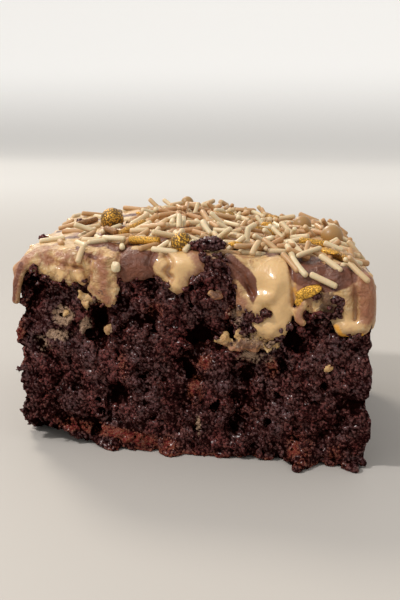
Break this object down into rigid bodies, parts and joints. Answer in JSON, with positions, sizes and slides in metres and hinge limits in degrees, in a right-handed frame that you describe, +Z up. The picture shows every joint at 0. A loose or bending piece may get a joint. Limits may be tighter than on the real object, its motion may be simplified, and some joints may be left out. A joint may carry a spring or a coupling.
{
  "type": "slice of chocolate cake",
  "caption": "Square-cut slice of chocolate tray cake: craggy dark sponge under thick swirled caramel and chocolate frosting with cream and gold sprinkles.",
  "frame": {"origin": "middle of the flat underside that the slice stands on", "axes": "+Z up; the shown cut face looks along -Y; +X to the right along that face, the slice's longest run"},
  "size_m": [0.0794, 0.0658, 0.0434],
  "materials": {
    "sponge": "moist torn chocolate crumb, dark and matte",
    "frosting": "soft caramel frosting with chocolate swirls, satin to glossy"
  },
  "bodies": {
    "root": {"sponge": "sponge", "frosting": "frosting"}
  },
  "joints": []
}
